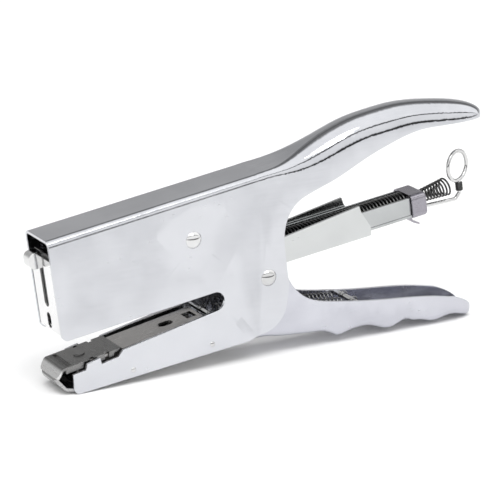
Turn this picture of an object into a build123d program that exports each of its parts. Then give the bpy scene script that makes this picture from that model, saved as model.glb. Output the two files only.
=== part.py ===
from build123d import *
from math import atan2, cos, degrees, hypot, radians, sin, tan
import os

# Plier stapler: an all-metal hand stapler with crossing jaws.
# Working frame, in millimetres: +X runs from the jaws to the handles, +Z is up and the
# tool stands on z = 0, on the front of its lower jaw and the tail of its lower handle.
# Every piece is drawn here, and main() then moves the whole tool so that the origin lies
# under the middle of its box.

# ---- sheet thicknesses and the nested widths, from the staple outwards ----
SHEET = 1.2                    # body shell, lever and jaw channel
THIN = 0.8                     # magazine parts
CROWN_HALF = 6.45              # half of a staple's 12.9 mm crown
MAG_IN = 6.6                   # half the inner width of the magazine
MAG_OUT = MAG_IN + 1.0
LEVER_OUT = 9.1
LEVER_IN = LEVER_OUT - SHEET
SHELL_OUT = 10.5
SHELL_IN = SHELL_OUT - SHEET

# ---- pivot and tilts ----
PIVOT = (2.9, 34.4)            # x, z of the rivet that the lever and the magazine turn on
TOP_TILT = 8.4               # degrees, the top of the body above the horizontal
MAG_TILT = 7.6                 # degrees, the magazine at rest

# ---- rivets ----
PIVOT_R = 2.5
RUN = 0.06                     # radial clearance of a running fit
STOP_RIVET = (-31.5, 55.6)
STOP_R = 2.0
HEAD_R = 3.5
HEAD_H = 1.7
THROUGH = 20                   # half length of a cutter that has to pass right through

# ---- body shell ----
FRONT_TOP = (-95.5, 64.4)
FRONT_LOW = (-89.8, 22.6)
TOP_FOLD_R = 2.8
STRAIGHT_END = -2.0            # the flat top ends here and the handle starts to swell
THROAT_R = 4.0
THROAT_END = (-21.6, 28.2)     # centre of the slot's round end
JAW_EDGE_FRONT = (-63.5, 14.9)
JAW_TOE = (-85.6, 8.3)
JAW_BOTTOM_FRONT = (-85.2, -0.3)
JAW_BOTTOM_REAR = (-6.0, 8.8)
LOBE_START = (11.6, 22.5)
HANDLE_EDGE = 86.7             # height of the upper handle's lower edge near its tip
LOBE_R = 12.8                  # the rounded corner behind the pivot
LOBE_FOOT = 10.6
SIDE_CORNER_R = 2.6
MIN_FOLD = 0.8                 # least radius of a fold's inner face
TOE_CORNER_R = 5.0
# stations of the upper handle: x, half width, fold radius, crest height
HANDLE = [
    (STRAIGHT_END, 10.5, 2.8, None),
    (4.0, 10.5, 3.0, 79.2),
    (10.0, 10.5, 4.0, 80.4),
    (18.0, 10.4, 6.5, 83.1),
    (28.0, 10.2, 9.0, 87.4),
    (40.0, 10.1, 9.6, 92.2),
    (54.0, 10.0, 9.6, 95.6),
    (70.0, 9.8, 9.4, 97.4),
    (86.0, 9.4, 9.0, 96.5),
    (97.0, 8.5, 8.0, 94.9),
    (103.5, 7.0, 6.4, 93.2),
    (107.4, 5.0, 4.2, 91.4),
    (109.0, 3.4, 2.4, 90.2),
]

# ---- lower jaw and anvil ----
JAW_FRONT, JAW_REAR = -84.0, -14.0     # the liner's straight stretch
JAW_FLOOR_LIFT = 1.0           # the liner's floor above the body's lower edge
TOE = -91.8                    # the liner's curled tip
SMALL_RIVETS = [(-59.0, 5.8), (-23.2, 10.4)]
SMALL_R = 0.9
CAP_FRONT = (-89.2, 10.7)      # front fold of the anvil cap, on its top face
CAP_SLOPE = 10.4               # degrees
CAP_LENGTH = 25.6
CAP_HALF = 8.4
CAP_T = 1.0
CAP_RIVET_X = -78.0
CAP_RIVET_R = 1.6
GROOVE_X = -85.6               # the groove that turns the staple's legs
GROOVE_R = 0.85
NOTCHES = (-76.2, -69.6)
CARRIER_FRONT, CARRIER_REAR = -87.6, -25.0
CARRIER_T = 1.2
CARRIER_HALF = CAP_HALF - 1.0
OVAL_X = -39.3
WINDOW_X = -28.6

# ---- lever ----
LEVER_FRONT = -4.0             # the lower handle's floor starts here
# stations of the lower handle: x, half width, corner radius, height of the underside
BELLY = [
    (LEVER_FRONT, 9.1, 3.2, 9.0),
    (2.0, 9.1, 3.2, 8.1),
    (8.0, 9.1, 3.2, 7.3),
    (14.0, 9.1, 3.2, 6.7),
    (20.0, 9.1, 3.2, 6.3),
    (26.0, 9.1, 3.2, 5.9),
    (33.0, 9.1, 3.2, 4.7),
    (39.7, 9.1, 3.2, 2.9),
    (45.0, 9.1, 3.2, 4.1),
    (51.0, 9.1, 3.2, 4.5),
    (57.0, 9.1, 3.2, 3.0),
    (62.0, 9.1, 3.2, 1.7),
    (67.0, 9.1, 3.2, 2.9),
    (73.0, 9.1, 3.2, 3.6),
    (79.0, 9.1, 3.2, 2.4),
    (84.6, 9.1, 3.2, 1.1),
    (90.0, 9.1, 3.2, 2.0),
    (95.5, 8.8, 3.2, 2.2),
    (100.0, 7.9, 3.2, 1.1),
    (103.0, 6.6, 3.0, 0.3),
    (105.2, 4.4, 2.6, 0.8),
]
PIN_U, PIN_V = -84.5, 29.0     # drive pin, in the magazine's frame
PIN_R = 1.5

# ---- return springs ----
SPRING_FRONT = (-20.5, 20.6)   # centre of the front anchor pin
SPRING_REAR = (47.0, 15.4)     # centre of the rear anchor pin
SPRING_Y = 4.0
SPRING_R = 1.9
SPRING_WIRE = 0.6
SPRING_TURNS = 31
ANCHOR_R = 1.2
HOOK_LENGTH = 6.0              # from the eye's centre to the first turn

# ---- magazine, in its own frame: u along it from the pivot, v up from the pivot ----
MAG_BOTTOM = 2.9
MAG_TOP = 12.9
MAG_FLOOR = MAG_BOTTOM + 1.0
MAG_REAR = 51.2
EAR_R = 5.5
PLATE_FACE = -93.3             # front face of the front plate
PLATE_TOP = 34.0
PLATE_HALF = 9.0
PLATE_SLOT_LOW = 14.8
PLATE_SLOT_HALF = 2.0
DRIVER_T = 0.6
DRIVER_GAP = 0.2
DRIVER_LOW = 10.9
DRIVER_TOP = 36.0
SHELF_REACH = 10.0
STAPLE_FRONT = -91.5
STAPLE_TOP = 10.5
STICK_LENGTH = 26.0
FOLLOWER_FRONT = -39.3
FOLLOWER_LENGTH = 12.0
FOLLOWER_TOP = 13.6
FOLLOWER_HALF = MAG_IN - 0.25
LOADER_FRONT = 5.0
LOADER_REAR = 73.0
LOADER_HALF = 6.0
CLIP_TOP = 13.9
LOADER_TOP = 12.9
ROD_V = 9.9
ROD_R = 1.0
FEED_R = 3.9
FEED_WIRE = 0.8
FEED_TURNS = 60
RING_U, RING_V = 100.4, 18.0
RING_R = 6.4
WIRE_R = 0.85
WIRE_V = 5.2                   # height of the pull wire where it leaves the clip
TAIL_R = 2.4
TAIL_WIRE = 0.8
TAIL_TURNS = 9
STEM_TURNS = 5
STEM_PITCH = 0.72
RING_TURN = 20.0               # degrees that the ring's plane is turned about the vertical


def join(*wires):
    """A closed face from wires that meet end to end."""
    return make_face(Wire.combine([edge for wire in wires for edge in wire.edges()])[0])


def outline(*points):
    """A closed face in the XZ plane, from its corners."""
    return Plane.XZ * make_face(Polyline(*points, close=True))


def gather(*parts):
    """One shape that holds the solids of several parts, without joining them."""
    return Compound([solid for part in parts for solid in part.solids()])


def slab(shape, y_low, y_high):
    """A sheet between two y positions, with the given outline."""
    return Pos(0, y_low, 0) * extrude(shape, amount=y_high - y_low, dir=(0, 1, 0))


def pair(solid):
    """A solid and its mirror image across the middle plane."""
    return solid + mirror(solid, about=Plane.XZ)


def block(x_low, x_high, half, z_low, z_high):
    """A box centred on the middle plane."""
    centre = Pos((x_low + x_high) / 2, 0, (z_low + z_high) / 2)
    return centre * Box(x_high - x_low, 2 * half, z_high - z_low)


def cross_pin(x, z, radius, half):
    """A round pin along Y."""
    return Pos(x, 0, z) * Rot(90, 0, 0) * Cylinder(radius, 2 * half)


def long_pin(u_low, u_high, v, radius):
    """A round pin along the magazine, in its frame."""
    return Pos((u_low + u_high) / 2, 0, v) * Rot(0, 90, 0) * Cylinder(radius, u_high - u_low)


def magazine_frame(solid):
    """Places a solid that was drawn around the pivot, along the tilted magazine."""
    return Pos(PIVOT[0], 0, PIVOT[1]) * Rot(0, -MAG_TILT, 0) * solid


def dome_head(x, z, y_face, radius, height):
    """A rivet head standing out of the face at y_face, towards -Y."""
    ball = (radius**2 + height**2) / (2 * height)
    cap = Pos(0, ball - height, 0) * Sphere(ball)
    keep = Pos(0, -height / 2, 0) * Box(2 * radius + 2, height, 2 * radius + 2)
    return Pos(x, y_face, z) * (cap & keep)


def rivet(x, z, radius, half, head_r, head_h):
    """A headed rivet right through the tool."""
    return cross_pin(x, z, radius, half) + pair(dome_head(x, z, -half, head_r, head_h))


def top_height(x):
    """Height of the flat top of the body at x."""
    return FRONT_TOP[1] + (x - FRONT_TOP[0]) * tan(radians(TOP_TILT))


def u_section(x, half, radius, crest, ends_at):
    """A U-shaped section at x, with its two corners rounded at the crest."""
    path = FilletPolyline((-half, ends_at), (-half, crest), (half, crest), (half, ends_at), radius=radius)
    closing = Polyline((half, ends_at), (-half, ends_at))
    return Plane(origin=(x, 0, 0), x_dir=(0, 1, 0), z_dir=(1, 0, 0)) * join(path, closing)


def arch(x, half, radius, crest, inset):
    """Section of the body at x: its outer face, or its inner face when inset is the sheet."""
    return u_section(x, half - inset, max(radius - inset, MIN_FOLD), crest - inset, -5.0)


def arch_body(inset):
    """The solid under the body's outer face, or under its inner face."""
    stations = [(x, half, radius, crest or top_height(x)) for x, half, radius, crest in HANDLE]
    if inset:
        tip_x, tip_half, tip_radius, tip_crest = stations[-2]
        stations[-2:] = [(tip_x, tip_half * 0.6, tip_radius * 0.6, tip_crest - 0.3)]
    swell = loft([arch(*station, inset) for station in stations])
    front = FRONT_TOP[0] - 6
    flat = [arch(x, SHELL_OUT, TOP_FOLD_R, top_height(x), inset) for x in (front, STRAIGHT_END)]
    return loft(flat, ruled=True) + swell


def side_outline():
    """The side view of the body: box, upper handle, throat slot and lower jaw."""
    lid = (FRONT_TOP[0] - 1.1, FRONT_TOP[1] + 8)
    top = Polyline(lid, (-20, 112), (116, 112), (116, HANDLE_EDGE), (90, HANDLE_EDGE + 0.3))
    handle = Spline(
        (90, HANDLE_EDGE + 0.3), (74.6, 86.6), (60, 82.8), (45.8, 76.9), (34, 71.4), (24, 67.9),
        tangents=[(-1, 0.0), (-1, -0.36)],
    )
    back = Spline(
        (24, 67.9), (16.4, 64.4), (11.6, 58.0), (10.1, 50.0), (11.0, 41.0), (12.3, 31.5), LOBE_START,
        tangents=[(-1, -0.36), (-0.12, -1)],
    )
    lobe = TangentArc(LOBE_START, (LOBE_START[0] - LOBE_R, LOBE_FOOT), tangent=(-0.12, -1))
    foot = Polyline(lobe @ 1, JAW_BOTTOM_REAR)
    end_x, end_z = THROAT_END
    low_tilt = atan2(end_z - THROAT_R - JAW_EDGE_FRONT[1], end_x - JAW_EDGE_FRONT[0])
    high_tilt = atan2(end_z + THROAT_R - FRONT_LOW[1], end_x - FRONT_LOW[0])
    slot_low = (end_x + THROAT_R * sin(low_tilt), end_z - THROAT_R * cos(low_tilt))
    slot_high = (end_x - THROAT_R * sin(high_tilt), end_z + THROAT_R * cos(high_tilt))
    jaw = Polyline(
        JAW_BOTTOM_REAR, JAW_BOTTOM_FRONT, JAW_TOE, (-79.9, 9.4), (-79.4, 11.8), (-73.7, 13.3),
        (-73.0, 10.7), (-65.8, 12.4), JAW_EDGE_FRONT, slot_low,
    )
    slot_end = ThreePointArc(slot_low, (end_x + THROAT_R, end_z), slot_high)
    plate = Polyline(slot_high, FRONT_LOW, lid)
    shape = join(top, handle, back, lobe, foot, jaw, slot_end, plate)
    corners = [Vector(*FRONT_LOW), Vector(*JAW_BOTTOM_FRONT)]
    soft = [v for v in shape.vertices() if min((Vector(v.X, v.Y) - c).length for c in corners) < 0.01]
    return Plane.XZ * fillet(soft, SIDE_CORNER_R)


def body_shell():
    """Top, side plates, lower jaw sides and upper handle, pressed from one sheet."""
    sheet = arch_body(0) - arch_body(SHEET)
    shell = sheet & slab(side_outline(), -THROUGH, THROUGH)
    shell -= cross_pin(*PIVOT, PIVOT_R, THROUGH)
    shell -= cross_pin(*STOP_RIVET, STOP_R, THROUGH)
    for x, z in SMALL_RIVETS:
        shell -= cross_pin(x, z, SMALL_R, THROUGH)
    return shell


def jaw_bottom(x):
    """Height of the body's lower edge along the jaw."""
    (x0, z0), (x1, z1) = JAW_BOTTOM_FRONT, JAW_BOTTOM_REAR
    return z0 + (x - x0) * (z1 - z0) / (x1 - x0)


def jaw_channel():
    """U-shaped liner of the lower jaw, with its floor curled up at the toe."""
    low_front = jaw_bottom(JAW_FRONT) + JAW_FLOOR_LIFT
    low_rear = jaw_bottom(JAW_REAR) + JAW_FLOOR_LIFT
    under = FilletPolyline(
        (TOE, 5.6), (TOE + 3.2, 1.7), (JAW_FRONT, low_front), (JAW_REAR, low_rear), radius=3,
    )
    over = Polyline(
        (JAW_REAR, low_rear), (JAW_REAR, low_rear + SHEET), (JAW_FRONT - 0.2, low_front + SHEET),
        (TOE + 3.8, 2.8), (TOE + 0.9, 6.4), (TOE, 5.6),
    )
    floor = slab(Plane.XZ * join(under, over), -SHELL_IN, SHELL_IN)
    plan = Pos(TOE + 40, 0) * Rectangle(80, 2 * SHELL_IN)
    plan = fillet(plan.vertices().sort_by(Axis.X)[:2], TOE_CORNER_R)
    floor &= Pos(0, 0, -5) * extrude(plan, amount=30)
    wall = outline(
        (JAW_FRONT, low_front), (JAW_REAR, low_rear), (JAW_REAR, 16.0), (-60.0, 9.6), (JAW_FRONT, 7.0),
    )
    channel = floor + pair(slab(wall, -SHELL_IN, -SHELL_IN + SHEET))
    for x, z in SMALL_RIVETS:
        channel -= cross_pin(x, z, SMALL_R, THROUGH)
    return channel


def cap_height(x, drop=0.0):
    """Height of the anvil cap's top face at x, less a drop."""
    return CAP_FRONT[1] + (x - CAP_FRONT[0]) * tan(radians(CAP_SLOPE)) - drop


def cap_strip(x_low, x_high, drop_low, drop_high):
    """Outline of a strip that lies parallel to the cap's top face."""
    return outline(
        (x_low, cap_height(x_low, drop_low)), (x_high, cap_height(x_high, drop_low)),
        (x_high, cap_height(x_high, drop_high)), (x_low, cap_height(x_low, drop_high)),
    )


def cap_rivet_hole():
    """The hole that the anvil's rivet passes through."""
    return Pos(CAP_RIVET_X, 0, 0) * Cylinder(CAP_RIVET_R, 3 * THROUGH)


def anvil_carrier():
    """Folded plate under the anvil: a top web and two legs inside the jaw liner."""
    web = cap_strip(CARRIER_FRONT, CARRIER_REAR, CAP_T, CAP_T + CARRIER_T)
    leg_front = CARRIER_FRONT + 5.6
    leg = outline(
        (leg_front, cap_height(leg_front, CAP_T + 0.1)),
        (CARRIER_REAR, cap_height(CARRIER_REAR, CAP_T + 0.1)),
        (CARRIER_REAR, 10.4), (-60.0, 6.2), (leg_front, 4.2),
    )
    carrier = slab(web, -CARRIER_HALF, CARRIER_HALF) + pair(slab(leg, -CARRIER_HALF, -CARRIER_HALF + 1.0))
    oval = Pos(OVAL_X, 0, 0) * extrude(SlotOverall(6.4, 4.4), amount=40)
    window = Pos(WINDOW_X, 0, 0) * extrude(Rectangle(4.2, 6.0), amount=40)
    return carrier - oval - window - cap_rivet_hole()


def anvil_cap():
    """Folded anvil cap: top plate, sloping front lip, notched side flanges and a groove."""
    front_x, front_z = CAP_FRONT
    rear = front_x + CAP_LENGTH
    lip = (front_x - 2.5, front_z - 4.0)
    side = outline(
        (front_x, front_z), (rear, cap_height(rear)), (rear + 1.2, cap_height(rear + 1.2, CAP_T)),
        (front_x + 0.5, cap_height(front_x + 0.5, CAP_T)), (lip[0] + 0.9, lip[1] - 0.3), lip,
    )
    plan = Pos(lip[0] + 20, 0) * Rectangle(40, 2 * CAP_HALF)
    plan = fillet(plan.vertices().sort_by(Axis.X)[:2], 2.0)
    top = slab(side, -CAP_HALF, CAP_HALF)
    fold = top.edges().filter_by(Axis.Y).sort_by_distance(Vector(front_x, 0, front_z))[0]
    top = fillet(fold, 1.6) & extrude(plan, amount=40)
    flange = cap_strip(CARRIER_FRONT, rear - 2.9, 0.5, 2.6)
    cap = top + pair(slab(flange, CARRIER_HALF + 0.1, CAP_HALF))
    bar = Rot(90, 0, 0) * Cylinder(GROOVE_R, 2 * CAP_HALF - 2.4)
    cap -= Pos(GROOVE_X, 0, cap_height(GROOVE_X, -0.15)) * Rot(0, -CAP_SLOPE, 0) * bar
    for x in NOTCHES:
        notch = block(x - 0.95, x + 0.95, 2 * CAP_HALF, cap_height(x, 3), cap_height(x, -3))
        cap -= notch - block(x - 5, x + 5, CAP_HALF - 1.6, 0, 60)
    return cap - cap_rivet_hole()


def anvil_rivet():
    """Rivet that holds the cap on its carrier, with a low flat head."""
    shank = Pos(CAP_RIVET_X, 0, cap_height(CAP_RIVET_X, 1.0)) * Cylinder(CAP_RIVET_R, 2.6)
    seat = Pos(CAP_RIVET_X, 0, cap_height(CAP_RIVET_X)) * Rot(0, -CAP_SLOPE, 0)
    return shank + seat * Pos(0, 0, 0.2) * Cylinder(2.3, 0.4)


def jaw_rivets():
    """Four small rivets that fix the liner in the lower jaw, two on each side."""
    pins = []
    for x, z in SMALL_RIVETS:
        shank = Pos(x, -SHELL_OUT + SHEET, z) * Rot(90, 0, 0) * Cylinder(SMALL_R, 2 * SHEET)
        pin = shank + dome_head(x, z, -SHELL_OUT, 1.1, 0.35)
        pins += [pin, mirror(pin, about=Plane.XZ)]
    return gather(*pins)


def pivot_rivet():
    """Large rivet through the body, the lever and the magazine's ears."""
    return rivet(*PIVOT, PIVOT_R, SHELL_OUT, HEAD_R, HEAD_H)


def stop_rivet():
    """Upper rivet: ties the side plates and stops the lever as it opens."""
    return rivet(*STOP_RIVET, STOP_R, SHELL_OUT, HEAD_R, HEAD_H)


def spring_anchor_front():
    """Cross pin in the lower jaw that the return springs hook on."""
    return cross_pin(*SPRING_FRONT, ANCHOR_R, SHELL_IN)


def spring_anchor_rear():
    """Cross pin in the lever that the return springs hook on."""
    return cross_pin(*SPRING_REAR, ANCHOR_R, LEVER_IN)


def lever_outline():
    """Side view of the lever, open below: drive arms, pivot and the rim of the handle."""
    low = -6.0
    heel = (7.5, 42.0)
    tail_start = (104.9, 2.4)
    rim_start = (87.0, 12.2)
    arms = Polyline(
        heel, (-3.0, 42.6), (-31.3, 53.3), (-88.9, 57.2), (-86.6, 41.4), (-58.9, 42.0),
        (-28.4, 40.9), (-9.0, 29.0), (LEVER_FRONT, 20.0), (LEVER_FRONT, low),
        (112, low), (112, tail_start[1]), tail_start,
    )
    tail = Spline(tail_start, (102.9, 6.6), (97.2, 9.8), rim_start, tangents=[(0, 1), (-1, 0.2)])
    rim = Spline(
        rim_start, (57.2, 15.6), (41.7, 17.5), (32.1, 19.0), (25.4, 20.6), (18.7, 24.6),
        (13.8, 30.4), (10.8, 37.0), heel, tangents=[(-1, 0.2), (-0.8, 0.8)],
    )
    return Plane.XZ * join(arms, tail, rim)


def belly_body(inset):
    """The solid inside the lower handle's outer face, or inside its inner face."""
    stations = [(x, half - inset, radius - inset, belly + inset) for x, half, radius, belly in BELLY]
    if inset:
        first, last = stations[0], stations[-1]
        stations[0] = (first[0] - 1.0, *first[1:])
        stations[-1] = (last[0] - inset, *last[1:])
    return loft([u_section(*station, 60.0) for station in stations])


def lever():
    """Lower handle and its two drive arms, pressed from one sheet."""
    side = lever_outline()
    handle = (belly_body(0) & slab(side, -THROUGH, THROUGH)) - belly_body(SHEET)
    arm_zone = block(LEVER_FRONT - 120, LEVER_FRONT, THROUGH, 0, 90)
    sheet = handle + (pair(slab(side, LEVER_IN, LEVER_OUT)) & arm_zone)
    sheet -= cross_pin(*PIVOT, PIVOT_R + RUN, THROUGH)
    return sheet - magazine_frame(cross_pin(PIN_U, PIN_V, PIN_R, THROUGH))


def drive_pin():
    """Cross pin between the arms that works the driver."""
    return magazine_frame(cross_pin(PIN_U, PIN_V, PIN_R, LEVER_OUT))


def coil(length, radius, wire, turns, cone=0.0):
    """A wire coil along +Z from the origin, starting on the +X side."""
    path = Helix(pitch=length / turns, height=length, radius=radius, cone_angle=cone)
    section = Plane(origin=path @ 0, z_dir=path % 0) * Circle(wire / 2)
    return sweep(section, path=path, is_frenet=True)


def hook():
    """Straight leg and eye at the end of a spring, with the eye's centre at the origin."""
    thinner = 0.02
    leg_r = SPRING_WIRE / 2 - thinner / 2
    leg = Pos(SPRING_R - thinner, 0, HOOK_LENGTH / 2) * Cylinder(leg_r, HOOK_LENGTH + 0.4)
    eye = Rot(90, 0, 0) * Torus(SPRING_R, SPRING_WIRE / 2)
    return leg + eye


def return_springs():
    """Two extension springs side by side, each hooked on a pin at both ends."""
    (x0, z0), (x1, z1) = SPRING_FRONT, SPRING_REAR
    length = hypot(x1 - x0, z1 - z0)
    slope = degrees(atan2(z1 - z0, x1 - x0))
    turns = Pos(0, 0, HOOK_LENGTH) * coil(length - 2 * HOOK_LENGTH, SPRING_R, SPRING_WIRE, SPRING_TURNS)
    spring = turns + hook() + Pos(0, 0, length) * Rot(180, 0, 0) * hook()
    lay = Rot(0, 90 - slope, 0) * spring
    return gather(*[Pos(x0, y, z0) * lay for y in (-SPRING_Y, SPRING_Y)])


def magazine_channel():
    """Open channel that the staples slide in, with two ears on the pivot."""
    mouth = PLATE_FACE + THIN
    wall = outline(
        (mouth, MAG_BOTTOM), (MAG_REAR, MAG_BOTTOM), (51.4, 6.8), (50.3, 9.0), (47.6, 14.2),
        (47.0, 16.9), (0.0, MAG_TOP), (mouth, MAG_TOP),
    )
    neck = outline((-EAR_R, 0), (-EAR_R, MAG_FLOOR + 2), (EAR_R, MAG_FLOOR + 2), (EAR_R, 0))
    side = slab(wall, MAG_IN, MAG_OUT) + slab(neck, MAG_IN, MAG_OUT)
    side += Pos(0, (MAG_IN + MAG_OUT) / 2, 0) * Rot(90, 0, 0) * Cylinder(EAR_R, MAG_OUT - MAG_IN)
    side -= cross_pin(0, 0, PIVOT_R + RUN, THROUGH)
    floor = block(STAPLE_FRONT - 0.1, MAG_REAR, MAG_IN, MAG_BOTTOM, MAG_FLOOR)
    return magazine_frame(pair(side) + floor)


def front_plate():
    """Guide plate across the mouth, with the driver's slot and a small oval window."""
    back = PLATE_FACE + THIN
    plate = block(PLATE_FACE, back, PLATE_HALF, MAG_BOTTOM, PLATE_TOP)
    plate += pair(Pos(0, MAG_IN + 0.5, 0) * block(back, back + 2.0, 0.5, MAG_TOP, 30.0))
    slot = block(PLATE_FACE - 1, back + 0.7, PLATE_SLOT_HALF, PLATE_SLOT_LOW, PLATE_TOP + 1)
    slot += long_pin(PLATE_FACE - 1, back + 0.7, PLATE_SLOT_LOW, PLATE_SLOT_HALF)
    window = Pos(PLATE_FACE, 0, 7.0) * Rot(0, 90, 0) * extrude(SlotOverall(6.6, 3.4), amount=2, both=True)
    return magazine_frame(plate - slot - window)


def driver_blade():
    """Thin blade behind the front plate, with two shelves that embrace the drive pin."""
    front = PLATE_FACE + THIN + DRIVER_GAP
    back = front + DRIVER_T
    blade = block(front, back, CROWN_HALF - 0.05, DRIVER_LOW, DRIVER_TOP)
    gap = PIN_R + 0.2
    lower = block(back, back + SHELF_REACH, 5.0, PIN_V - gap - THIN, PIN_V - gap)
    upper = block(back, back + SHELF_REACH, 5.0, PIN_V + gap, PIN_V + gap + THIN)
    return magazine_frame(blade + lower + upper)


def driver_lug():
    """Rounded lug on the driver that runs in the front plate's slot."""
    back = PLATE_FACE - 0.4
    body = block(back - 5.5, back, 2.6, 30.3, 37.0)
    body = fillet(body.edges().filter_by(Axis.Y).sort_by(Axis.X)[:2], 2.6)
    neck = block(back - 0.5, PLATE_FACE + THIN + DRIVER_GAP, PLATE_SLOT_HALF - 0.15, 31.0, 35.5)
    return magazine_frame(body + neck)


def staple_sticks():
    """Two sticks of staples standing on the magazine floor."""
    sticks = []
    for i in range(2):
        low = STAPLE_FRONT + i * STICK_LENGTH + 0.05
        high = low + STICK_LENGTH - 0.1
        stick = block(low, high, CROWN_HALF, MAG_FLOOR + 0.05, STAPLE_TOP)
        stick -= block(low - 1, high + 1, CROWN_HALF - 0.5, MAG_FLOOR - 1, STAPLE_TOP - 0.5)
        sticks.append(magazine_frame(stick))
    return gather(*sticks)


def follower():
    """Folded block that pushes the staples forward."""
    front, rear = FOLLOWER_FRONT, FOLLOWER_FRONT + FOLLOWER_LENGTH
    low = MAG_FLOOR + 0.15
    shape = block(front, rear, FOLLOWER_HALF, low, FOLLOWER_TOP)
    shape -= block(front + THIN, rear - THIN, FOLLOWER_HALF - THIN, low - 1, FOLLOWER_TOP - THIN)
    return magazine_frame(shape - long_pin(front - 2, rear + 2, ROD_V, ROD_R + RUN))


def loader_channel():
    """Channel that carries the feed spring and slides out of the magazine's tail."""
    low = MAG_FLOOR + 0.5
    foot = block(LOADER_FRONT, LOADER_REAR + 2.0, LOADER_HALF + 0.4, low, low + 1.0)
    walls = block(LOADER_FRONT, LOADER_REAR, LOADER_HALF, low, LOADER_TOP)
    walls -= block(LOADER_FRONT - 1, LOADER_REAR + 1, LOADER_HALF - THIN, low + 1.0, 20)
    return magazine_frame(foot + walls)


def end_clip():
    """Rounded clip folded round the end of the loader channel."""
    inner, outer = LOADER_REAR + 6.0, LOADER_REAR + 7.0
    clip = block(LOADER_REAR - 0.5, outer, LOADER_HALF + 1.3, MAG_FLOOR - 0.3, CLIP_TOP)
    clip = fillet(clip.edges().filter_by(Axis.X), 2.2)
    clip = fillet(clip.faces().sort_by(Axis.X)[-1].edges(), 1.4)
    clip -= block(LOADER_REAR - 2, inner, LOADER_HALF + 0.5, MAG_FLOOR + 0.4, CLIP_TOP - THIN)
    web_half = LOADER_HALF - THIN - 0.05
    clip += block(LOADER_REAR - 0.5, LOADER_REAR + 0.4, web_half, MAG_FLOOR + 1.6, CLIP_TOP - THIN)
    clip -= long_pin(LOADER_REAR - 3, outer + 2, ROD_V, ROD_R)
    return magazine_frame(clip - long_pin(inner - 3, outer + 2, WIRE_V, WIRE_R))


def latch_hook():
    """Curved catch under the end clip."""
    high = MAG_FLOOR - 0.3
    path = FilletPolyline(
        (LOADER_REAR + 0.8, high + 0.35), (LOADER_REAR + 1.2, high - 2.6),
        (LOADER_REAR + 4.6, high - 4.4), radius=2.2,
    )
    strip = Plane.XZ * make_face(offset(path, 0.35, side=Side.BOTH).edges())
    catch = slab(strip, -2.6, 2.6)
    return magazine_frame(catch - block(LOADER_REAR - 2, LOADER_REAR + 8, THROUGH, high, high + 3))


def guide_rod():
    """Thin rod inside the feed spring, fixed in the end clip."""
    rod = long_pin(FOLLOWER_FRONT + FOLLOWER_LENGTH - 2.0, LOADER_REAR + 7.4, ROD_V, ROD_R)
    return magazine_frame(rod)


def feed_spring():
    """Long compression spring between the follower and the end clip."""
    low, high = FOLLOWER_FRONT + FOLLOWER_LENGTH + 0.5, LOADER_REAR - 1.0
    body = coil(high - low, FEED_R, FEED_WIRE, FEED_TURNS)
    return magazine_frame(Pos(low, 0, ROD_V) * Rot(0, 90, 0) * body)


def pull_wire():
    """One bent wire: rod out of the clip, bend, stem and finger ring."""
    path = FilletPolyline(
        (LOADER_REAR + 6.0, 0, WIRE_V), (RING_U - 2.4, 0, WIRE_V - 1.5), (RING_U, 0, WIRE_V + 0.9),
        (RING_U, 0, RING_V - RING_R), radius=1.6,
    )
    section = Plane(origin=path @ 0, z_dir=path % 0) * Circle(WIRE_R)
    ring = Pos(RING_U, 0, RING_V) * Rot(0, 0, RING_TURN) * Rot(90, 0, 0) * Torus(RING_R, WIRE_R)
    return magazine_frame(sweep(section, path=path) + ring)


def tail_spring():
    """Open end of the feed spring, swelling towards the ring's stem."""
    start, end = (LOADER_REAR + 7.6, 9.8), (RING_U - 6.4, 10.6)
    length = hypot(end[0] - start[0], end[1] - start[1])
    slope = degrees(atan2(end[1] - start[1], end[0] - start[0]))
    body = coil(length, TAIL_R, TAIL_WIRE, TAIL_TURNS, cone=5.5)
    return magazine_frame(Pos(start[0], 0, start[1]) * Rot(0, 90 - slope, 0) * body)


def stem_coil():
    """Close turns of the spring's end, wound round the ring's stem."""
    turn = Torus(WIRE_R + 0.40, 0.36)
    low = WIRE_V + 2.2
    turns = [magazine_frame(Pos(RING_U, 0, low + STEM_PITCH * i) * turn) for i in range(STEM_TURNS)]
    return gather(*turns)


PIECES = {
    "body_shell": body_shell,
    "jaw_channel": jaw_channel,
    "anvil_carrier": anvil_carrier,
    "anvil_cap": anvil_cap,
    "anvil_rivet": anvil_rivet,
    "jaw_rivets": jaw_rivets,
    "pivot_rivet": pivot_rivet,
    "stop_rivet": stop_rivet,
    "spring_anchor_front": spring_anchor_front,
    "lever": lever,
    "drive_pin": drive_pin,
    "spring_anchor_rear": spring_anchor_rear,
    "return_springs": return_springs,
    "magazine_channel": magazine_channel,
    "front_plate": front_plate,
    "staple_sticks": staple_sticks,
    "driver_blade": driver_blade,
    "driver_lug": driver_lug,
    "loader_channel": loader_channel,
    "end_clip": end_clip,
    "latch_hook": latch_hook,
    "guide_rod": guide_rod,
    "pull_wire": pull_wire,
    "stem_coil": stem_coil,
    "tail_spring": tail_spring,
    "follower": follower,
    "feed_spring": feed_spring,
}


def main():
    os.makedirs("parts", exist_ok=True)
    solids = {name: make() for name, make in PIECES.items()}
    boxes = [solid.bounding_box() for solid in solids.values()]
    shift = (
        -(min(b.min.X for b in boxes) + max(b.max.X for b in boxes)) / 2,
        -(min(b.min.Y for b in boxes) + max(b.max.Y for b in boxes)) / 2,
        -min(b.min.Z for b in boxes),
    )
    print("shift", [round(v, 4) for v in shift])
    for name, solid in solids.items():
        export_step(Pos(*shift) * solid, f"parts/{name}.step")


main()
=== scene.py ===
"""Looks of the plier stapler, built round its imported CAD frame. Lengths are in metres."""
import math

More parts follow.
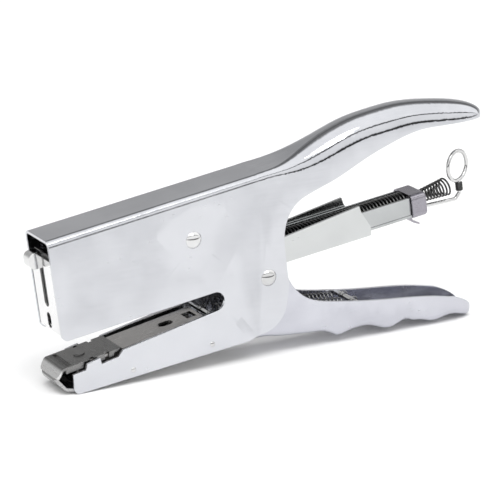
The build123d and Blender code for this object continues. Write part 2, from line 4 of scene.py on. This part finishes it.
import bpy
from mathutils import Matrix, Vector


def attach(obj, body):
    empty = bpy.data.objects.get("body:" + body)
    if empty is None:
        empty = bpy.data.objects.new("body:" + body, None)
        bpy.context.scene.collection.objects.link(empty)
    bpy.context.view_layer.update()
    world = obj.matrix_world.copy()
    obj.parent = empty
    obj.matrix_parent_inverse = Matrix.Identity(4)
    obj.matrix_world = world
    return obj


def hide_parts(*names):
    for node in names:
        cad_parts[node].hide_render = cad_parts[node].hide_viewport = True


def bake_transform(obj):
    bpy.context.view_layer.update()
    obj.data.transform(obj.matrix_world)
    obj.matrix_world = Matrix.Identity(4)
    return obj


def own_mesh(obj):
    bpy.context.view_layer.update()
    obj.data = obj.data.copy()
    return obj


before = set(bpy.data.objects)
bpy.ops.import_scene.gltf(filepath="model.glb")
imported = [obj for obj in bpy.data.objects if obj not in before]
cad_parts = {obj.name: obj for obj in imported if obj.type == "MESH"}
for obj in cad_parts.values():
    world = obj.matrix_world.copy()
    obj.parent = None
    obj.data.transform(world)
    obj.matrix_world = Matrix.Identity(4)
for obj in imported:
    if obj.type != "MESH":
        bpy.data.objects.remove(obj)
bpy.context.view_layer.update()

MM = 0.001
SHIFT = Vector((-4.4995 * MM, 0.0, -0.0007 * MM))   # from the drawing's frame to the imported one
SIDEWAYS = Vector((0, 1, 0))

# ---- numbers that every metal shares ----
CLOUD_SCALE = 45                  # noise scales are per metre
SWELL_SCALE = 30
STAIN_SCALE = 180
SPECK_SCALE = 2600
SCUFF_STRETCH = (220, 40, 700)
TONE_CLOUD = 0.75                 # share of the clouds in the tone, and the rest is grain
ROUGH_GRAIN = 0.6                 # share of the grain in the roughness, and the rest is clouds
MIDDLE = (0.35, 0.65)             # the part of the noise's range that is spread from low to high
STAINED = 0.55                    # a stain's tone, as a share of the darkest clean tone
FRESH_TONE = 0.92                 # newly worn metal
FRESH_EDGE = 0.4 * MM
WEAR_SHARE = 0.4
EDGE_POINTINESS = (0.52, 0.56)
RELIEF = 0.2 * MM
DENT_SQUEEZE = 1.6                # a dent is this much longer than it is high


# ---- node helpers ----
class Shader:
    """A node material whose nodes are added and linked one call at a time."""

    def __init__(self, name):
        self.material = bpy.data.materials.new(name)
        self.material.use_nodes = True
        self.tree = self.material.node_tree
        self.tree.nodes.clear()
        output = self.add("ShaderNodeOutputMaterial")
        self.surface = self.add("ShaderNodeBsdfPrincipled")
        self.tree.links.new(self.surface.outputs[0], output.inputs[0])
        self.place = self.add("ShaderNodeTexCoord").outputs["Object"]

    def add(self, kind, **settings):
        """A new node of this kind, with its settings made."""
        node = self.tree.nodes.new(kind)
        for key, value in settings.items():
            setattr(node, key, value)
        return node

    def feed(self, socket, value):
        """Links a node's output to a socket, or sets a plain value on it."""
        if isinstance(value, bpy.types.NodeSocket):
            self.tree.links.new(value, socket)
        else:
            socket.default_value = value

    def stretched(self, scale):
        """The object's coordinates, scaled along each axis."""
        mapping = self.add("ShaderNodeMapping")
        self.feed(mapping.inputs["Vector"], self.place)
        mapping.inputs["Scale"].default_value = scale
        return mapping.outputs[0]

    def noise(self, scale, stretch=(1, 1, 1), detail=3, roughness=0.55):
        """Fractal noise over the object's coordinates, about 0 to 1."""
        node = self.add("ShaderNodeTexNoise")
        self.feed(node.inputs["Vector"], self.stretched(stretch))
        node.inputs["Scale"].default_value = scale
        node.inputs["Detail"].default_value = detail
        node.inputs["Roughness"].default_value = roughness
        return node.outputs["Fac"]

    def span(self, value, low, high, to_low=0.0, to_high=1.0, smooth=False):
        """Maps a value from one range to another, clamped."""
        node = self.add("ShaderNodeMapRange")
        if smooth:
            node.interpolation_type = "SMOOTHSTEP"
        self.feed(node.inputs["Value"], value)
        limits = {"From Min": low, "From Max": high, "To Min": to_low, "To Max": to_high}
        for name, number in limits.items():
            self.feed(node.inputs[name], number)
        return node.outputs[0]

    def math(self, operation, a, b):
        """Two values put together, each a number or a node's output."""
        node = self.add("ShaderNodeMath", operation=operation)
        self.feed(node.inputs[0], a)
        self.feed(node.inputs[1], b)
        return node.outputs[0]

    def plus(self, a, b):
        return self.math("ADD", a, b)

    def times(self, a, b):
        return self.math("MULTIPLY", a, b)

    def mix(self, factor, a, b):
        """Blends two colours."""
        node = self.add("ShaderNodeMix", data_type="RGBA")
        self.feed(node.inputs[0], factor)
        self.feed(node.inputs[6], a)
        self.feed(node.inputs[7], b)
        return node.outputs[2]

    def axis(self, index):
        """One coordinate of the place, in metres."""
        node = self.add("ShaderNodeSeparateXYZ")
        self.feed(node.inputs[0], self.place)
        return node.outputs[index]

    def edge_wear(self):
        """1 along convex edges, 0 elsewhere."""
        node = self.add("ShaderNodeNewGeometry")
        return self.span(node.outputs["Pointiness"], *EDGE_POINTINESS)

    def dent(self, place, radius, depth):
        """A smooth hollow round a place: its depth at the middle, 0 outside."""
        reach = self.add("ShaderNodeVectorMath", operation="DISTANCE")
        self.feed(reach.inputs[0], self.stretched((1, 0, DENT_SQUEEZE)))
        reach.inputs[1].default_value = (place[0], 0.0, place[1] * DENT_SQUEEZE)
        return self.span(reach.outputs["Value"], 0.0, radius, -depth, 0.0, smooth=True)

    def bump(self, height, strength, distance, rounding):
        """Small relief on the surface, over edges that catch the light as if rounded."""
        node = self.add("ShaderNodeBump")
        node.inputs["Strength"].default_value = strength
        node.inputs["Distance"].default_value = distance
        self.feed(node.inputs["Height"], height)
        if rounding:
            bevel = self.add("ShaderNodeBevel", samples=4)
            bevel.inputs["Radius"].default_value = rounding
            self.feed(node.inputs["Normal"], bevel.outputs[0])
        self.feed(self.surface.inputs["Normal"], node.outputs[0])


def grey(value, tint=(0.0, 0.0, 0.0)):
    """A grey colour, with a little added to each channel."""
    return (value + tint[0], value + tint[1], value + tint[2], 1.0)


def metal(name, low, high, rough_low, rough_high, tint=(0, 0, 0), grain=(60, 900, 900), grain_bump=0.04,
          polish=None, rounding=0.15 * MM, stain=0.0, bright_below=None, dents=()):
    """A metal finish: cloudy tone, fine drawn grain, scuffs and brighter worn edges.

    low and high are its darkest and lightest tone, and bright_below is the x below which it is freshly worn.
    """
    s = Shader(name)
    s.surface.inputs["Metallic"].default_value = 1.0
    cloud = s.noise(CLOUD_SCALE)
    lines = s.noise(1.0, stretch=grain, roughness=0.7)
    specks = s.span(s.noise(SPECK_SCALE, detail=2), 0.62, 0.78)

    tone = s.plus(s.times(cloud, TONE_CLOUD), s.times(lines, 1 - TONE_CLOUD))
    colour = s.mix(s.span(tone, *MIDDLE), grey(low, tint), grey(high, tint))
    if stain:
        blotch = s.span(s.noise(STAIN_SCALE, detail=5, roughness=0.65), 0.5, 0.68, 0.0, stain)
        colour = s.mix(blotch, colour, grey(low * STAINED, tint))
    if bright_below is not None:
        fresh = s.span(s.axis(0), bright_below - FRESH_EDGE, bright_below + FRESH_EDGE, 1.0, 0.0)
        colour = s.mix(s.times(fresh, 0.9), colour, grey(FRESH_TONE, tint))
    worn = grey(min(high + 0.1, 0.95), tint)
    s.feed(s.surface.inputs["Base Color"], s.mix(s.times(s.edge_wear(), WEAR_SHARE), colour, worn))

    scuff = s.span(s.noise(1.0, stretch=SCUFF_STRETCH, detail=2), 0.6, 0.72, 0.0, 0.08)
    drawn = s.plus(s.times(lines, ROUGH_GRAIN), s.times(cloud, 1 - ROUGH_GRAIN))
    rough = s.span(drawn, *MIDDLE, rough_low, rough_high)
    rough = s.plus(rough, s.plus(scuff, s.times(specks, 0.05)))
    if polish:
        rough = s.times(rough, polish(s))
    s.feed(s.surface.inputs["Roughness"], rough)

    height = s.plus(lines, s.times(s.noise(SWELL_SCALE, detail=1), 2.0))
    for place, radius, depth in dents:
        height = s.plus(height, s.dent(place, radius, depth))
    s.bump(height, grain_bump, RELIEF, rounding)
    return s.material


# ---- metals ----
LIP_X = SHIFT.x - 89.6 * MM                    # the anvil cap's top ends here and its bright lip begins
HANDLE_ROOT = (-22 * MM, 12 * MM)              # the polish rises from the first x to the second
HANDLE_POLISH = 0.28                           # the handle's roughness, as a share of the box's
HANDLE_DIMPLE = ((SHIFT.x + 20.0 * MM, 71.5 * MM), 9.0 * MM, 60.0)   # place in x and z, radius, depth
SHEET_EDGE = 0.35 * MM
EVEN_GRAIN = (900, 900, 900)


def handle_polish(s):
    """Satin on the flat box and the jaw, mirror bright on the swollen handle."""
    return s.span(s.axis(0), *HANDLE_ROOT, 1.0, HANDLE_POLISH, smooth=True)


PLATED = metal(
    "plated_sheet", 0.47, 0.56, 0.13, 0.22, tint=(0.0, 0.008, 0.035), grain_bump=0.03,
    polish=handle_polish, rounding=SHEET_EDGE, dents=[HANDLE_DIMPLE],
)
LEVER = metal(
    "plated_lever", 0.45, 0.54, 0.13, 0.24, tint=(0.0, 0.005, 0.05), grain_bump=0.03, rounding=SHEET_EDGE,
)
RIVET = metal("plated_rivets", 0.50, 0.66, 0.06, 0.15, grain=(500, 500, 500))
STEEL = metal("bare_steel", 0.29, 0.42, 0.20, 0.36, grain=(900, 60, 900), grain_bump=0.08)
PLATE = metal("guide_plate", 0.66, 0.78, 0.16, 0.28, grain=(900, 900, 60), grain_bump=0.05)
ANVIL = metal(
    "anvil_steel", 0.09, 0.20, 0.20, 0.36, tint=(0.004, 0.002, 0.0), grain=(700, 90, 700), grain_bump=0.12,
    stain=0.6, bright_below=LIP_X,
)
JAW = metal(
    "jaw_steel", 0.30, 0.43, 0.20, 0.36, tint=(0.022, 0.010, 0.0), grain=(60, 900, 400), grain_bump=0.08,
    stain=0.35,
)
DARK = metal("dark_steel", 0.04, 0.09, 0.25, 0.42, grain=(900, 60, 900), grain_bump=0.06)
MAGAZINE = metal("magazine_sheet", 0.42, 0.54, 0.12, 0.24, tint=(0.0, 0.012, 0.012), grain_bump=0.05)
LOADER = metal("loader_sheet", 0.30, 0.44, 0.14, 0.26, tint=(0.0, 0.012, 0.016), grain_bump=0.05)
CLIP = metal("clip_sheet", 0.20, 0.31, 0.2, 0.34, tint=(0.012, 0.0, 0.035), grain=(300, 300, 300))
SPRING = metal("spring_wire", 0.03, 0.08, 0.22, 0.38, grain=EVEN_GRAIN, grain_bump=0.06, rounding=0.0)
RETURN = metal("return_wire", 0.16, 0.28, 0.20, 0.34, grain=EVEN_GRAIN, grain_bump=0.06, rounding=0.0)
STAPLE = metal(
    "staple_wire", 0.50, 0.66, 0.25, 0.38, grain=(2400, 20, 20), grain_bump=0.6, rounding=0.05 * MM,
)

FINISHES = {
    PLATED: ["body_shell"],
    LEVER: ["lever"],
    RIVET: ["pivot_rivet", "stop_rivet", "jaw_rivets", "pull_wire", "driver_lug", "drive_pin", "guide_rod",
            "spring_anchor_front", "spring_anchor_rear"],
    STEEL: ["jaw_channel"],
    PLATE: ["front_plate"],
    ANVIL: ["anvil_cap", "anvil_rivet"],
    JAW: ["anvil_carrier"],
    DARK: ["driver_blade"],
    MAGAZINE: ["magazine_channel", "follower"],
    LOADER: ["loader_channel"],
    CLIP: ["end_clip", "latch_hook"],
    SPRING: ["feed_spring", "tail_spring", "stem_coil"],
    RETURN: ["return_springs"],
    STAPLE: ["staple_sticks"],
}


def dress(thing, material):
    """Gives an object this one material."""
    thing.data.materials.clear()
    thing.data.materials.append(material)


def finish_cad():
    """Dresses every CAD node in its metal."""
    for material, names in FINISHES.items():
        for name in names:
            dress(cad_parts[name], material)


# ---- coil springs, each built at one length ----
PIVOT = SHIFT + Vector((2.9 * MM, 0.0, 34.4 * MM))
MAG_TILT = math.radians(7.6)                         # the magazine at rest
FEED_ENDS = (-26.8 * MM, 72.0 * MM)                  # along the magazine, from the pivot
FEED_HEIGHT = 9.9 * MM
FEED_RADIUS = 3.9 * MM
FEED_WIRE = 0.8 * MM
FEED_TURNS = 60
ANCHOR_FRONT = SHIFT + Vector((-20.5 * MM, 0.0, 20.6 * MM))
ANCHOR_REAR = SHIFT + Vector((47.0 * MM, 0.0, 15.4 * MM))
RETURN_SIDE = 4.0 * MM                               # from the middle plane
RETURN_RADIUS = 1.9 * MM
RETURN_WIRE = 0.6 * MM
RETURN_TURNS = 31
HOOK_LEG = 6.0 * MM
EYE_STEPS = 18


def wire_mesh(name, points, radius, sides=8):
    """A round wire along a line of points."""
    verts = []
    faces = []
    normal = SIDEWAYS
    for i, point in enumerate(points):
        ahead = points[min(i + 1, len(points) - 1)] - points[max(i - 1, 0)]
        ahead.normalize()
        normal = (normal - normal.dot(ahead) * ahead).normalized()
        across = ahead.cross(normal)
        for k in range(sides):
            turn = 2 * math.pi * k / sides
            verts.append(point + radius * (math.cos(turn) * normal + math.sin(turn) * across))
        if i:
            here = i * sides
            for k in range(sides):
                beside = (k + 1) % sides
                faces.append((here - sides + k, here - sides + beside, here + beside, here + k))
    faces.append(tuple(reversed(range(sides))))
    faces.append(tuple(range(len(verts) - sides, len(verts))))
    mesh = bpy.data.meshes.new(name)
    mesh.from_pydata([tuple(v) for v in verts], [], faces)
    mesh.update()
    for face in mesh.polygons:
        face.use_smooth = True
    piece = bpy.data.objects.new(name, mesh)
    bpy.context.scene.collection.objects.link(piece)
    return piece


def turns_along(start, end, radius, turns, steps=18):
    """The points of a coil wound round the line from start to end."""
    ahead = (end - start).normalized()
    up = SIDEWAYS.cross(ahead)
    points = []
    for i in range(turns * steps + 1):
        angle = 2 * math.pi * i / steps
        centre = start.lerp(end, i / (turns * steps))
        points.append(centre + radius * (math.cos(angle) * up + math.sin(angle) * SIDEWAYS))
    return points


def feed_spring():
    """The long spring behind the follower, built at one length and carried with the loader; the real one
    shortens as the follower slides back.
    """
    along = Vector((math.cos(MAG_TILT), 0.0, math.sin(MAG_TILT)))
    up = Vector((-math.sin(MAG_TILT), 0.0, math.cos(MAG_TILT)))
    low, high = [PIVOT + u * along + FEED_HEIGHT * up for u in FEED_ENDS]
    spring = wire_mesh("feed_spring_coil", turns_along(low, high, FEED_RADIUS, FEED_TURNS), FEED_WIRE / 2)
    dress(spring, SPRING)
    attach(spring, "loader")
    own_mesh(spring)
    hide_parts("feed_spring")


def return_spring(side):
    """One extension spring with an eye at each end, built at one length; the real one is drawn out as the
    lever is squeezed.
    """
    front = ANCHOR_FRONT + side * SIDEWAYS
    rear = ANCHOR_REAR + side * SIDEWAYS
    ahead = (rear - front).normalized()
    up = RETURN_RADIUS * SIDEWAYS.cross(ahead)
    out = RETURN_RADIUS * ahead
    leg = HOOK_LEG * ahead
    angles = [2 * math.pi * k / EYE_STEPS for k in range(1, EYE_STEPS + 1)]
    points = [front + math.cos(a) * up - math.sin(a) * out for a in reversed(angles)]
    points += turns_along(front + leg, rear - leg, RETURN_RADIUS, RETURN_TURNS)
    points += [rear + math.cos(a) * up + math.sin(a) * out for a in angles]
    spring = wire_mesh("return_spring", points, RETURN_WIRE / 2)
    dress(spring, RETURN)
    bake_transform(spring)
    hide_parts("return_springs")


# ---- studio ----
AZIMUTH = math.radians(29.37)
ELEVATION = math.radians(17.58)
DISTANCE = 1.1403
TARGET = SHIFT + Vector((0.0, 0.0, 43.8 * MM))
SENSOR = 36.0                                        # mm, as is the lens
LENS = 201.8
FLOOR_SIZE = 6.0
FLOOR_GAP = 0.2 * MM                                 # clear air under the tool
KEY_PLACE = Vector((-0.5, -1.0, 2.2))
KEY_AIM = Vector((0.0, 0.0, 0.05))
KEY_SIZE = (2.2, 1.0)
KEY_POWER = 26
SKY_STRENGTH = 1.13


def facing(direction):
    """The turn that points a camera or a light along a direction, its top upwards."""
    return direction.to_track_quat("-Z", "Y").to_euler()


def camera():
    """A long lens from the front left, a little above the tool."""
    data = bpy.data.cameras.new("camera")
    data.sensor_width = SENSOR
    data.lens = LENS
    data.clip_start = 0.05
    eye = bpy.data.objects.new("camera", data)
    flat = math.cos(ELEVATION)
    away = Vector((-math.sin(AZIMUTH) * flat, -math.cos(AZIMUTH) * flat, math.sin(ELEVATION)))
    eye.location = TARGET + DISTANCE * away
    eye.rotation_euler = facing(-away)
    bpy.context.scene.collection.objects.link(eye)
    bpy.context.scene.camera = eye


def floor():
    """A wide sheet of pale paper."""
    bpy.ops.mesh.primitive_plane_add(size=FLOOR_SIZE, location=(0, 0, -FLOOR_GAP))
    plane = bpy.context.object
    plane.name = "floor"
    s = Shader("floor_paper")
    s.surface.inputs["Roughness"].default_value = 0.55
    s.surface.inputs["Specular IOR Level"].default_value = 0.3
    tone = s.span(s.noise(3.0, detail=2), 0.3, 0.7)
    s.feed(s.surface.inputs["Base Color"], s.mix(tone, grey(0.93), grey(0.96)))
    dress(plane, s.material)


def key_light():
    """One large soft box, above and in front."""
    data = bpy.data.lights.new("key", "AREA")
    data.shape = "RECTANGLE"
    data.size, data.size_y = KEY_SIZE
    data.energy = KEY_POWER
    light = bpy.data.objects.new("key", data)
    light.location = KEY_PLACE
    light.rotation_euler = facing(KEY_AIM - KEY_PLACE)
    bpy.context.scene.collection.objects.link(light)


# what surrounds the tool, by the angle round the X axis from the front horizon (0) over the
# zenith (90) to the rear horizon (180) and on under the floor: soft boxes with dark gaps
SURROUND = [
    (-180, 1.0), (-30, 1.0), (-4, 0.9), (0, 0.06), (8, 0.06), (12, 1.1), (40, 1.2), (43, 0.04), (46, 0.04),
    (49, 1.3), (106, 1.3), (116, 0.32), (130, 0.16), (150, 0.50), (159, 0.46), (172, 0.7), (180, 1.0),
]


def sky():
    """A studio round the tool, as a ramp of soft boxes and dark gaps."""
    world = bpy.data.worlds.new("studio")
    bpy.context.scene.world = world
    world.use_nodes = True
    tree = world.node_tree
    tree.nodes.clear()
    coord = tree.nodes.new("ShaderNodeTexCoord")
    split = tree.nodes.new("ShaderNodeSeparateXYZ")
    front = tree.nodes.new("ShaderNodeMath")
    front.operation = "MULTIPLY"
    front.inputs[1].default_value = -1.0
    angle = tree.nodes.new("ShaderNodeMath")
    angle.operation = "ARCTAN2"
    span = tree.nodes.new("ShaderNodeMapRange")
    span.inputs["From Min"].default_value = -math.pi
    span.inputs["From Max"].default_value = math.pi
    ramp = tree.nodes.new("ShaderNodeValToRGB")
    shade = tree.nodes.new("ShaderNodeBackground")
    shade.inputs["Strength"].default_value = SKY_STRENGTH
    out = tree.nodes.new("ShaderNodeOutputWorld")
    links = (
        (coord.outputs["Generated"], split.inputs[0]),
        (split.outputs["Y"], front.inputs[0]),
        (split.outputs["Z"], angle.inputs[0]),
        (front.outputs[0], angle.inputs[1]),
        (angle.outputs[0], span.inputs["Value"]),
        (span.outputs[0], ramp.inputs[0]),
        (ramp.outputs[0], shade.inputs[0]),
        (shade.outputs[0], out.inputs[0]),
    )
    for source, goal in links:
        tree.links.new(source, goal)
    for degrees, _ in SURROUND[1:-1]:
        ramp.color_ramp.elements.new(degrees / 360 + 0.5)
    for element, (degrees, value) in zip(ramp.color_ramp.elements, SURROUND):
        element.position = degrees / 360 + 0.5
        element.color = grey(value)


finish_cad()
feed_spring()
for side in (-RETURN_SIDE, RETURN_SIDE):
    return_spring(side)
floor()
key_light()
sky()
camera()

bpy.context.scene.view_settings.view_transform = "Standard"
